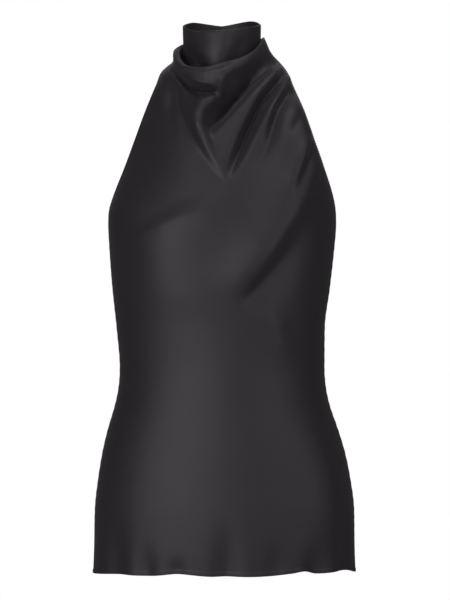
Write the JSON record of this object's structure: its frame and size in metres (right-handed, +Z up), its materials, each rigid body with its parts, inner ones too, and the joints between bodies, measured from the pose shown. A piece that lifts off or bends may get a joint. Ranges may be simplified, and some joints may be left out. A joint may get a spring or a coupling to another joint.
{
  "type": "halter neck top",
  "caption": "Sleeveless black satin halter neck top with a draped cowl roll round a standing neck band, a keyhole back and a flared, side-vented hem.",
  "frame": {"origin": "middle of the neck, level with the foot of the neck band, where the wearer's neck holds the top", "axes": "+Z up the neck, +X towards the right of the picture, which is the wearer's left, and +Y towards the back; the front faces -Y"},
  "size_m": [0.3356, 0.246, 0.7077],
  "materials": {
    "satin": "black satin with a soft sheen",
    "buttons": "the same black satin drawn tight over ball buttons"
  },
  "bodies": {
    "root": {"front_panel": "satin", "back_panel_left": "satin", "back_panel_right": "satin", "neck_band": "satin", "loop_upper": "satin", "loop_lower": "satin", "button_upper": "buttons", "button_lower": "buttons"}
  },
  "joints": []
}
